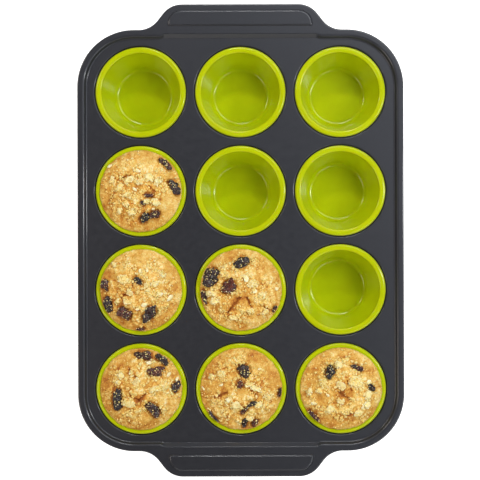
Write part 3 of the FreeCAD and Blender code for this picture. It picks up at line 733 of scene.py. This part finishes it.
def build_cake(row, column, centre, plan, material):
    """A muffin's baked body: crumbly dome, ragged edge and pitted sides."""
    seed = seed_of(row, column)
    disc, border, quads = disc_grid(TOP_GRID)
    top = np.column_stack([disc * DOME_CHORD, dome_height(np.linalg.norm(disc, axis=1) * DOME_CHORD)])
    rim = disc[border]
    side = muffin_side()
    rows = [np.column_stack([rim * radius, np.full(len(rim), height)]) for radius, height in side]
    base = np.concatenate([top] + rows + [np.array([[0, 0, LINER_FLOOR_Z]])])
    around = len(rim)
    first = np.arange(around)
    after = (first + 1) % around
    faces = [quads]
    upper = border
    for index in range(len(side)):
        lower = len(top) + index * around + first
        faces.append(np.stack([upper[first], lower, lower[after], upper[after]], axis=-1))
        upper = lower
    floor = np.column_stack([upper, upper[after], np.full(around, len(base) - 1)])[:, ::-1]

    height, relief, crumbly = crust_relief(base, seed, plan)
    crown = smooth_share(base[:, 2], CREST_Z + MUFFIN_GAP, dome_height(DOME_CHORD) + 0.8 * MM)
    radius = np.linalg.norm(base[:, :2], axis=1)
    outward = np.column_stack([base[:, :2] / np.maximum(radius, 1e-9)[:, None], np.zeros(len(base))])
    pores = np.abs(layered_noise(base / PORE_SIZE, seed + 70, 3))
    dent = -PORE_DEPTH * smooth_share(0.22 - pores, 0, 0.22) * (base[:, 2] > LINER_FLOOR_Z + 0.01 * MM)
    ragged = gradient_noise(outward * 5 + seed, seed + 80) * RAGGED_EDGE
    moved = raised(base, height * crown)
    moved += outward * (dent * (1 - crown) + ragged * (base[:, 2] > CREST_Z))[:, None]
    moved[:, 2] = np.minimum(moved[:, 2], TOP_LIMIT)

    name = "cake_r%d_c%d" % (row, column)
    data = bpy.data.meshes.new(name)
    data.from_pydata((moved + (*centre, 0)).tolist(), [], np.concatenate(faces).tolist() + floor.tolist())
    # painted shade: the sides are painted darker in their pits
    wall_tone = 0.42 + 0.25 * np.clip(pores * 2.2, 0, 1)
    number(data, "relief", relief * crown + wall_tone * (1 - crown))
    number(data, "crumbly", crumbly * crown)
    piece = link(name, data, material)
    body = "muffin_r%d_c%d" % (row, column)
    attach(piece, body)
    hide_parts(body)


def ball(subdivisions):
    """Unit sphere: points and triangles."""
    mesh = bmesh.new()
    bmesh.ops.create_icosphere(mesh, subdivisions=subdivisions, radius=1)
    points = np.array([vertex.co for vertex in mesh.verts])
    faces = np.array([[vertex.index for vertex in face.verts] for face in mesh.faces])
    mesh.free()
    return points, faces


def crumb_form(subdivisions, seed):
    """A broken crumb: a ball cut by random flats and roughened. Points, faces and each point's relief, a tone
    painted lighter where it stands out and darker in its hollows as painted shade.
    """
    form, faces = ball(subdivisions)
    chance = np.random.default_rng(seed)
    flats = chance.normal(size=(CRUMB_FLATS, 3))
    flats /= np.linalg.norm(flats, axis=1)[:, None]
    reach = chance.uniform(0.55, 0.95, CRUMB_FLATS)
    facing = form @ flats.T
    radius = np.where(facing > 0.05, reach / np.maximum(facing, 0.05), 1).min(axis=1)
    radius = np.minimum(radius, 1)
    bumps = layered_noise(form * 2.2 + seed, seed, 3)
    # painted shade: lighter where the crumb stands out, darker in its hollows
    relief = np.clip(0.5 + (radius - radius.mean()) * 1.2 + bumps * 0.35, 0, 1)
    return form * (radius * (1 + 0.22 * bumps))[:, None], faces, relief


def laid_on(place, turn=0.0):
    """Rotation that lays a flat thing on the dome at a place in mm, turned about its own upright."""
    x, y = place
    axis = Vector((-y, x, 0))
    slope = math.asin(math.hypot(x, y) * MM / DOME_RADIUS)
    lean = Matrix.Rotation(slope, 3, axis) if axis.length else Matrix()
    return np.array(lean.to_3x3() @ Matrix.Rotation(math.radians(turn), 3, "Z"))


class Heap:
    """Many small closed bodies gathered into one mesh, with numbers for each vertex."""

    def __init__(self):
        self.points, self.faces, self.numbers, self.count = [], [], {}, 0

    def add(self, points, faces, **numbers):
        self.points.append(points)
        self.faces.append(faces + self.count)
        self.count += len(points)
        for name, value in numbers.items():
            self.numbers.setdefault(name, []).append(np.broadcast_to(value, len(points)))

    def piece(self, name, centre, material):
        points = np.concatenate(self.points) * MM + (*centre, 0)
        points[:, 2] = np.minimum(points[:, 2], TOP_LIMIT)
        data = bpy.data.meshes.new(name)
        data.from_pydata(points.tolist(), [], np.concatenate(self.faces).tolist())
        for label, values in self.numbers.items():
            number(data, label, np.concatenate(values))
        return link(name, data, material)


def raisin_forms(seed, plan):
    """The raisins of one muffin: points in mm, faces and how deep each point lies in a fold."""
    form, faces = ball(RAISIN_DETAIL)
    forms = []
    for index, (x, y, length, width, turn) in enumerate(plan["raisins"]):
        own = seed + 7 * index
        bar = np.column_stack([form[:, 0] * width / 2 + np.tanh(form[:, 0] * 1.6) * (length - width) / 2,
                               form[:, 1] * width / 2, form[:, 2] * (0.30 * width + 0.8)])
        bend = layered_noise(bar / BEND_WAVE + own, own, 2)
        sway = [gradient_noise(bar / WARP_WAVE + own, own + k) for k in (5, 6, 7)]
        warp = bar + 0.9 * np.stack(sway, axis=-1)
        folds = np.abs(layered_noise(warp / FOLD_WAVES + own * 2, own + 3, 2))
        fold = smooth_share(FOLD_SHARE - folds, 0, FOLD_SHARE)
        nubs = layered_noise(bar / NUB_WAVE + own, own + 9, 2)
        growth = PLUMPNESS - fold * FOLD_DEPTH + nubs * NUB_HEIGHT
        body = bar * (1 + BEND * bend)[:, None] + form * growth[:, None]
        body[:, 2] -= 0.06 * width
        reach = min(math.hypot(x, y), RAISIN_REACH)
        placed = body @ laid_on((x, y), turn).T + (x, y, dome_height(reach * MM) / MM + 0.4)
        radius = np.hypot(placed[:, 0], placed[:, 1])
        placed[:, :2] *= np.minimum(1, RAISIN_LIMIT / np.maximum(radius, 1e-6))[:, None]
        forms.append((placed, faces, fold, (own * 0.37) % 1))
    return forms


def build_raisins(row, column, centre, fruit, material):
    """Wrinkled raisins half sunk in one muffin's crust."""
    heap = Heap()
    for points, faces, fold, tone in fruit:
        heap.add(points, faces, wrinkle=fold, tone=tone)
    piece = heap.piece("fruit_r%d_c%d" % (row, column), centre, material)
    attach(piece, "muffin_r%d_c%d" % (row, column))
    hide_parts("raisins_r%d_c%d" % (row, column))


def crumb_spots(chance, seed, plan):
    """Places, sizes and tones of the loose crumbs: thick on crumbly crust, few on bare crust and raisins."""
    tries = chance.uniform(-CRUMB_REACH, CRUMB_REACH, (CRUMB_TRIES, 2))
    tries = tries[np.linalg.norm(tries, axis=1) < CRUMB_REACH]
    base = np.column_stack([tries * MM, np.full(len(tries), CREST_Z)])
    crumbly = crust_relief(base, seed, plan)[2]
    luck, small, tone = chance.random((3, len(tries)))
    on_raisin = np.zeros(len(tries), bool)
    for raisin in plan["raisins"]:
        on_raisin |= capsule_distance(tries, *raisin) < 0.5
    kept = luck < np.where(on_raisin, CHANCE_ON_RAISIN, CHANCE_ON_BARE + (1 - CHANCE_ON_BARE) * crumbly)
    size = CRUMB_LEAST + CRUMB_SPREAD * small ** 1.5 * (0.35 + 0.65 * crumbly)
    # painted shade: crumbs on the muffin's shaded side are painted darker
    tone = 0.33 + 0.40 * tone - PAINTED_SHADE_DEPTH * 1.5 * side_shade_amount(tries, plan)
    return tries[kept], size[kept], np.clip(tone, 0, 1)[kept]


def lump_spots(chance, plan):
    """Each lump as a rough core with crumbs stuck over it: places, sizes, lifts and tones."""
    places, sizes, lifts, tones = [], [], [], []
    for x, y, length, width, turn in plan["lumps"]:
        angle = math.radians(turn)
        along = np.array([math.cos(angle), math.sin(angle)])
        across = np.array([-along[1], along[0]])
        # painted shade: lumps on the muffin's shaded side are painted darker
        shade = 0.55 + 0.35 * chance.random() - PAINTED_SHADE_DEPTH * side_shade_amount(np.array([x, y]), plan)
        for _ in range(round(length * width / LUMP_CRUMB_AREA) + 4):
            u, v = chance.uniform(-1, 1, 2)
            inside = 1 - u * u - v * v
            if inside > 0:
                places.append((x, y) + along * (u * length / 2) + across * (v * width / 2))
                sizes.append(chance.uniform(*LUMP_CRUMB_SIZE))
                lifts.append(LUMP_HEIGHT * 0.75 * math.sqrt(inside) - 0.5)
                tones.append(shade + chance.uniform(-0.15, 0.3))
    return np.array(places), np.array(sizes), np.array(lifts), np.clip(tones, 0, 1)


def build_crumbs(row, column, centre, plan, fruit, forms, material):
    """Streusel lumps, flakes and loose crumbs over one muffin, with a few stuck to its raisins."""
    seed = seed_of(row, column)
    chance = np.random.default_rng(seed)
    heap = Heap()

    def place(kind, point, turn, size, tone):
        points, faces, relief = forms[kind][chance.integers(len(forms[kind]))]
        heap.add((points * np.array(size) / 2) @ turn.T + point, faces, relief=relief, tone=tone)

    def tumbled():
        return np.array(Euler(chance.uniform(0, 2 * math.pi, 3)).to_matrix())

    def crust_points(places):
        places = np.array(places)
        base = np.column_stack([places * MM, dome_height(np.linalg.norm(places, axis=1) * MM)])
        return raised(base, crust_relief(base, seed, plan)[0]) / MM

    def lay(kind, rows, height, lift, tone):
        for (x, y, length, width, turn), point in zip(rows, crust_points([row[:2] for row in rows])):
            raise_by = laid_on((x, y)) @ np.array([0, 0, lift])
            place(kind, point + raise_by, laid_on((x, y), turn), (length, width, height), tone)

    lay("large", plan["lumps"], LUMP_HEIGHT * 1.5, LUMP_HEIGHT * 0.15, 0.65)
    places, sizes, lifts, tones = lump_spots(chance, plan)
    for point, size, lift, tone in zip(crust_points(places), sizes, lifts, tones):
        place("medium", point + (0, 0, lift), tumbled(), (size, size * 0.85, size * 0.7), tone)
    lay("medium", plan["flakes"], FLAKE_HEIGHT, 0.9, 1.0)
    places, sizes, tones = crumb_spots(chance, seed, plan)
    for point, size, tone in zip(crust_points(places), sizes, tones):
        kind = "medium" if size > SMALL_CRUMB else "small"
        place(kind, point + (0, 0, size * 0.15), tumbled(), (size * 1.1, size * 0.9, size * 0.8), tone)
    for (points, *_), (_, _, length, width, _) in zip(fruit, plan["raisins"]):
        upper = points[points[:, 2] > np.median(points[:, 2])]
        for point in upper[chance.integers(0, len(upper), round(length * width * SPECK_SHARE))]:
            size = chance.uniform(*SPECK_SIZE)
            place("small", point, tumbled(), (size, size * 0.8, size * 0.6), chance.uniform(0.5, 1.0))
    piece = heap.piece("streusel_r%d_c%d" % (row, column), centre, material)
    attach(piece, "muffin_r%d_c%d" % (row, column))


# ---- materials ----
class Surface:
    """A Principled material with short calls for the nodes that feed it."""

    def __init__(self, name, **values):
        self.material = bpy.data.materials.new(name)
        self.material.use_nodes = True
        self.nodes = self.material.node_tree.nodes
        self.links = self.material.node_tree.links
        self.shader = self.nodes["Principled BSDF"]
        self.place = self.nodes.new("ShaderNodeTexCoord").outputs["Object"]
        for socket, value in values.items():
            self.shader.inputs[socket.replace("_", " ")].default_value = value

    def noise(self, size, detail=3.0, roughness=0.55, distortion=0.0, stretch=(1, 1, 1)):
        """Noise whose waves are about size long."""
        spread = self.nodes.new("ShaderNodeMapping")
        spread.inputs["Scale"].default_value = stretch
        self.links.new(self.place, spread.inputs["Vector"])
        node = self.nodes.new("ShaderNodeTexNoise")
        self.links.new(spread.outputs["Vector"], node.inputs["Vector"])
        node.inputs["Scale"].default_value = 1 / size
        node.inputs["Detail"].default_value = detail
        node.inputs["Roughness"].default_value = roughness
        node.inputs["Distortion"].default_value = distortion
        return node.outputs["Fac"]

    def swing(self, amount, size, detail, roughness=0.55):
        """Noise about zero, amount strong."""
        centred = self.math("SUBTRACT", self.noise(size, detail, roughness), 0.5)
        return self.math("MULTIPLY", centred, amount)

    def cells(self, size):
        """Distance to scattered points about size apart."""
        node = self.nodes.new("ShaderNodeTexVoronoi")
        self.links.new(self.place, node.inputs["Vector"])
        node.inputs["Scale"].default_value = 1 / size
        return node.outputs["Distance"]

    def stored(self, name):
        """A number stored in the mesh."""
        node = self.nodes.new("ShaderNodeAttribute")
        node.attribute_name = name
        return node.outputs["Fac"]

    def put(self, socket, value):
        """Sets a node's input to a number or colour, or links it to an output."""
        if isinstance(value, (int, float)):
            socket.default_value = value
        elif isinstance(value, tuple):
            socket.default_value = (*value, 1)
        else:
            self.links.new(value, socket)

    def math(self, operation, first, second):
        """One sum, difference or product of two numbers or outputs."""
        node = self.nodes.new("ShaderNodeMath")
        node.operation = operation
        self.put(node.inputs[0], first)
        self.put(node.inputs[1], second)
        return node.outputs["Value"]

    def ramp(self, factor, *stops):
        """A colour or grey from stops of (place, value)."""
        node = self.nodes.new("ShaderNodeValToRGB")
        self.links.new(factor, node.inputs["Fac"])
        points = node.color_ramp.elements
        while len(points) < len(stops):
            points.new(0.5)
        for point, (place, value) in zip(points, stops):
            point.position = place
            point.color = (value, value, value, 1) if isinstance(value, (int, float)) else (*value, 1)
        return node.outputs["Color"]

    def mix(self, factor, first, second):
        """A blend of two colours."""
        node = self.nodes.new("ShaderNodeMix")
        node.data_type = "RGBA"
        self.put(node.inputs[0], factor)
        self.put(node.inputs[6], first)
        self.put(node.inputs[7], second)
        return node.outputs[2]

    def feed(self, socket, value):
        """Links a value into the shader."""
        self.links.new(value, self.shader.inputs[socket])

    def bump(self, height, distance, strength=1.0):
        """Adds a layer of fine relief over the ones before it."""
        node = self.nodes.new("ShaderNodeBump")
        node.inputs["Strength"].default_value = strength
        node.inputs["Distance"].default_value = distance
        self.links.new(height, node.inputs["Height"])
        earlier = self.shader.inputs["Normal"]
        if earlier.is_linked:
            self.links.new(earlier.links[0].from_socket, node.inputs["Normal"])
        self.links.new(node.outputs["Normal"], earlier)


def nonstick_steel():
    """Dark satin non-stick coat with faint mottling, fine grain and tiny flecks."""
    surface = Surface("nonstick_coat", IOR=1.5, Specular_IOR_Level=0.62, Specular_Tint=(0.86, 0.90, 1.0, 1),
                      Coat_Weight=0.45, Coat_Roughness=0.12)
    cloud = surface.noise(60 * MM, 4)
    flecks = surface.ramp(surface.cells(0.9 * MM), (0.0, 1.0), (0.12, 0.35), (0.22, 0.0))
    tone = surface.ramp(cloud, (0.3, (0.0105, 0.0110, 0.0150)), (0.7, (0.0135, 0.0140, 0.0185)))
    surface.feed("Base Color", surface.mix(surface.math("MULTIPLY", flecks, 0.25), tone, (0.10, 0.10, 0.11)))
    surface.feed("Roughness", surface.ramp(surface.noise(5 * MM, 5), (0.3, 0.44), (0.7, 0.52)))
    surface.bump(surface.noise(0.8 * MM, 3), 0.02 * MM, 0.35)
    surface.bump(surface.noise(7 * MM, 2), 0.05 * MM, 0.15)
    return surface.material


def wire_steel():
    """Drawn steel wire with fine lines and dull patches."""
    surface = Surface("drawn_wire", Metallic=1.0)
    patches = surface.noise(6 * MM, 4)
    surface.feed("Base Color", surface.ramp(patches, (0.35, (0.42, 0.41, 0.40)), (0.65, (0.60, 0.60, 0.61))))
    surface.feed("Roughness", surface.ramp(surface.noise(1.2 * MM, 4), (0.3, 0.26), (0.7, 0.42)))
    surface.bump(surface.noise(0.4 * MM, 4, stretch=(1, 1, 4)), 0.02 * MM, 0.4)
    return surface.material


def silicone():
    """Glossy lime silicone, a little translucent, with faint flow marks and patchy gloss."""
    surface = Surface("lime_silicone", IOR=1.41, Specular_IOR_Level=0.45, Subsurface_Weight=0.25,
                      Subsurface_Scale=2.0 * MM, Subsurface_Radius=(2.0, 0.9, 0.1))
    flow = surface.noise(22 * MM, 3, distortion=0.6)
    surface.feed("Base Color", surface.ramp(flow, (0.3, (0.455, 0.53, 0.0020)), (0.7, (0.50, 0.58, 0.0030))))
    surface.feed("Roughness", surface.ramp(surface.noise(3 * MM, 5), (0.3, 0.13), (0.7, 0.20)))
    surface.bump(surface.noise(0.9 * MM, 2), 0.012 * MM, 0.3)
    surface.bump(surface.noise(14 * MM, 1), 0.10 * MM, 0.12)
    return surface.material


def muffin_crumb():
    """Baked crust: brown in its crevices, which is painted shade, golden on its slopes and creamy on its
    crumbs.
    """
    surface = Surface("baked_crust", Roughness=0.72, Subsurface_Weight=0.15, Subsurface_Scale=1.2 * MM,
                      Subsurface_Radius=(1.0, 0.5, 0.15))
    patch = surface.swing(1.0, 11 * MM, 3)
    mottle = surface.swing(0.7, 3.5 * MM, 4, 0.6)
    speck = surface.swing(0.5, 0.8 * MM, 3)
    lift = surface.math("MULTIPLY", surface.stored("crumbly"), 0.06)
    tone = surface.math("ADD", surface.stored("relief"), mottle)
    tone = surface.math("ADD", surface.math("ADD", tone, patch), surface.math("ADD", speck, lift))
    surface.feed("Base Color", surface.ramp(tone, *CRUST))
    surface.bump(surface.noise(0.5 * MM, 4, 0.7), 0.22 * MM, 0.8)
    return surface.material


def streusel():
    """Buttery crumbs from golden to cream, and near-white flakes."""
    surface = Surface("streusel_crumb", Roughness=0.78, Subsurface_Weight=0.15, Subsurface_Scale=1.2 * MM,
                      Subsurface_Radius=(1.0, 0.55, 0.2))
    speck = surface.swing(0.6, 0.8 * MM, 4, 0.65)
    # painted shade: the stored relief paints each crumb darker in its hollows
    depth = surface.math("ADD", surface.math("MULTIPLY", surface.stored("relief"), 0.45), speck)
    tone = surface.math("ADD", surface.math("MULTIPLY", surface.stored("tone"), 0.60), depth)
    surface.feed("Base Color", surface.ramp(tone, *STREUSEL))
    surface.bump(surface.noise(0.45 * MM, 4, 0.7), 0.22 * MM, 0.9)
    return surface.material


def raisin_skin():
    """Dark wrinkled skin: near black with red-brown patches, crumb dust on its ridges and a sticky shine."""
    surface = Surface("raisin_skin", Coat_Weight=0.5, Coat_Roughness=0.16)
    fold = surface.stored("wrinkle")
    redness = surface.math("ADD", surface.stored("tone"), 0.45)
    blush = surface.math("MULTIPLY", surface.noise(3.2 * MM, 3), redness)
    skin = surface.ramp(blush, (0.25, (0.010, 0.006, 0.009)), (0.50, (0.040, 0.011, 0.010)),
                        (0.80, (0.16, 0.030, 0.012)))
    dust = surface.ramp(surface.noise(1.4 * MM, 4, 0.7), (0.60, 0.0), (0.70, 0.55))
    ridge = surface.math("SUBTRACT", 1.0, fold)
    dusted = surface.mix(surface.math("MULTIPLY", dust, ridge), skin, (0.50, 0.34, 0.17))
    # painted shade: the skin is painted near black deep in its folds
    depth = surface.math("MULTIPLY", fold, 0.7)
    surface.feed("Base Color", surface.mix(depth, dusted, (0.006, 0.003, 0.004)))
    surface.feed("Roughness", surface.ramp(surface.noise(1.3 * MM, 4), (0.3, 0.24), (0.7, 0.55)))
    surface.bump(surface.noise(0.6 * MM, 4), 0.22 * MM, 0.8)
    return surface.material


def floor_paper():
    """White photographic paper, lit through a little from below like a light table."""
    surface = Surface("floor_paper", Roughness=0.9, Emission_Strength=FLOOR_GLOW, Emission_Color=(1, 1, 1, 1))
    surface.feed("Base Color", surface.ramp(surface.noise(0.3, 3), (0.3, 0.90), (0.7, 0.92)))
    surface.bump(surface.noise(1.5 * MM, 4), 0.05 * MM, 0.2)
    return surface.material


# ---- stage ----
def build_floor(material):
    """The pale ground that the wells stand on."""
    bpy.ops.mesh.primitive_grid_add(x_subdivisions=4, y_subdivisions=4, size=FLOOR_SIZE,
                                    location=(0, 0, -FLOOR_GAP))
    floor = bpy.context.object
    floor.name = "floor"
    floor.data.materials.append(material)


def add_softbox(name, place, aim, size, power, colour):
    """A soft rectangular lamp at a place, aimed at a point."""
    data = bpy.data.lights.new(name, "AREA")
    data.shape = "RECTANGLE"
    data.size, data.size_y = size
    data.energy = power
    data.color = colour
    lamp = bpy.data.objects.new(name, data)
    lamp.location = place
    lamp.rotation_euler = (Vector(aim) - Vector(place)).to_track_quat("-Z", "Y").to_euler()
    bpy.context.scene.collection.objects.link(lamp)


def direction(azimuth, elevation):
    """Unit vector towards a compass angle from +X and a height over the horizon, both in degrees."""
    around, above = math.radians(azimuth), math.radians(elevation)
    return Vector((math.cos(around) * math.cos(above), math.sin(around) * math.cos(above), math.sin(above)))


def build_lights():
    """A key from the right, weaker lamps all round, dim surroundings and a backdrop only the camera sees."""
    world = bpy.data.worlds.new("studio")
    world.use_nodes = True
    nodes, links = world.node_tree.nodes, world.node_tree.links
    surround = nodes["Background"]
    surround.inputs["Color"].default_value = (1, 1, 1, 1)
    surround.inputs["Strength"].default_value = SURROUND_LEVEL
    backdrop = nodes.new("ShaderNodeBackground")
    backdrop.inputs["Color"].default_value = (1, 1, 1, 1)
    backdrop.inputs["Strength"].default_value = BACKDROP_LEVEL
    ray, blend = nodes.new("ShaderNodeLightPath"), nodes.new("ShaderNodeMixShader")
    links.new(ray.outputs["Is Camera Ray"], blend.inputs[0])
    links.new(surround.outputs[0], blend.inputs[1])
    links.new(backdrop.outputs[0], blend.inputs[2])
    links.new(blend.outputs[0], nodes["World Output"].inputs["Surface"])
    bpy.context.scene.world = world
    aim = Vector((0, 0, DECK_Z))
    for name, (azimuth, elevation, size, power, colour) in LAMPS.items():
        place = aim + direction(azimuth, elevation) * LAMP_DISTANCE
        add_softbox(name, place, aim, size, power, colour)


def build_camera():
    """A camera straight above the tray, at the photograph's distance and framing."""
    data = bpy.data.cameras.new("camera")
    data.lens = CAMERA_LENS
    data.sensor_width = 36
    data.shift_x, data.shift_y = CAMERA_SHIFT
    data.clip_start, data.clip_end = 0.01, 20
    camera = bpy.data.objects.new("camera", data)
    camera.location = (CAMERA_AXIS[0], CAMERA_AXIS[1], RIM_Z + CAMERA_HEIGHT)
    camera.rotation_euler.z = CAMERA_ROLL
    bpy.context.scene.collection.objects.link(camera)
    bpy.context.scene.camera = camera


bpy.context.scene.view_settings.view_transform = "Standard"
build_camera()
build_lights()
build_floor(floor_paper())

coat, lime = nonstick_steel(), silicone()
crust, crumbs, skin = muffin_crumb(), streusel(), raisin_skin()
forms = {kind: [crumb_form(detail, seed) for seed in seeds] for kind, (detail, seeds) in CRUMB_KINDS.items()}
build_tray(coat)
for row, column, centre in cup_places():
    build_well(row, column, centre, coat)
    build_liner(row, column, centre, lime)
    plan = MUFFINS.get((row, column))
    if plan:
        build_cake(row, column, centre, plan, crust)
        fruit = raisin_forms(seed_of(row, column), plan)
        build_raisins(row, column, centre, fruit, skin)
        build_crumbs(row, column, centre, plan, fruit, forms, crumbs)

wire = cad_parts["rim_wire"]
wire.data.materials.clear()
wire.data.materials.append(wire_steel())
